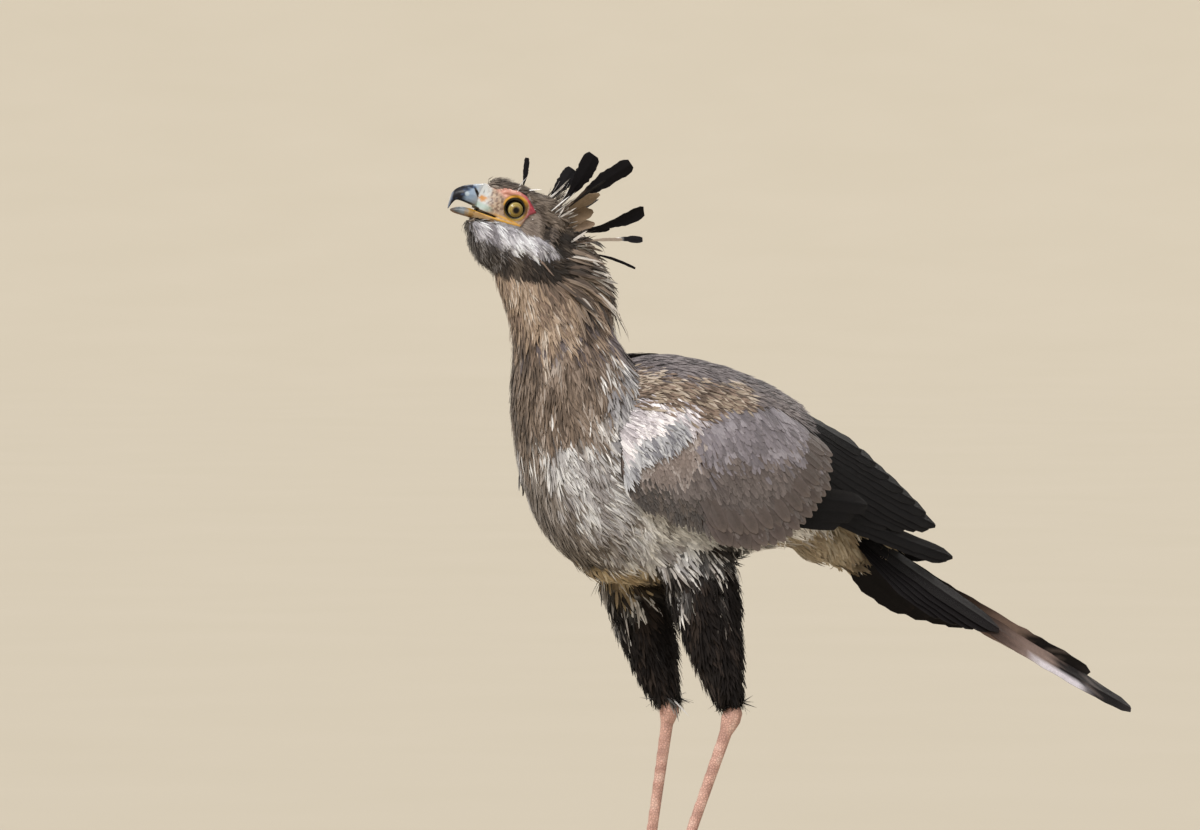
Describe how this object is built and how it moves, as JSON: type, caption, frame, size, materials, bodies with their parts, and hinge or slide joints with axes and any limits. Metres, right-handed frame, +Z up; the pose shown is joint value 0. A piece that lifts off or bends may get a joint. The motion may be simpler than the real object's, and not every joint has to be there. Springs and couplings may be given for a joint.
{
  "type": "secretary bird figure",
  "caption": "Life-size standing secretary bird with raised quill crest, hooked bill, folded wings, long graduated tail, feathered thighs and long bare shanks.",
  "frame": {"origin": "middle of the bounding box on the floor, between and a little behind the feet", "axes": "-X is where the body faces, -Y is the bird's left, +Z is up"},
  "size_m": [0.9726, 0.261, 1.0029],
  "materials": {
    "face": "bare orange-pink face skin, soft and slightly waxy",
    "bill": "blue-grey horn, semi-gloss",
    "eye": "olive-brown iris under a clear wet cornea",
    "black_feathers": "black feathers with a faint satin sheen",
    "neck_feathers": "loose brown-grey feathers, matte",
    "body_feathers": "soft pale grey feathers mottled brown, matte",
    "wing_coverts": "smooth mauve-grey coverts with paler edges, satin",
    "leg_scales": "dull pinkish scales",
    "claw": "black horn, slightly worn"
  },
  "bodies": {
    "root": {"head": "face", "bill_upper": "bill", "bill_lower": "bill", "eye_left": "eye", "eye_right": "eye", "crest": "black_feathers", "neck": "neck_feathers", "torso": "body_feathers", "wing_left": "wing_coverts", "wing_right": "wing_coverts", "tail": "black_feathers", "thigh_left": "black_feathers", "thigh_right": "black_feathers", "tarsus_left": "leg_scales", "tarsus_right": "leg_scales", "foot_left": "leg_scales", "foot_right": "leg_scales", "claw_left_1": "claw", "claw_left_2": "claw", "claw_left_3": "claw", "claw_left_4": "claw", "claw_right_1": "claw", "claw_right_2": "claw", "claw_right_3": "claw", "claw_right_4": "claw"}
  },
  "joints": []
}
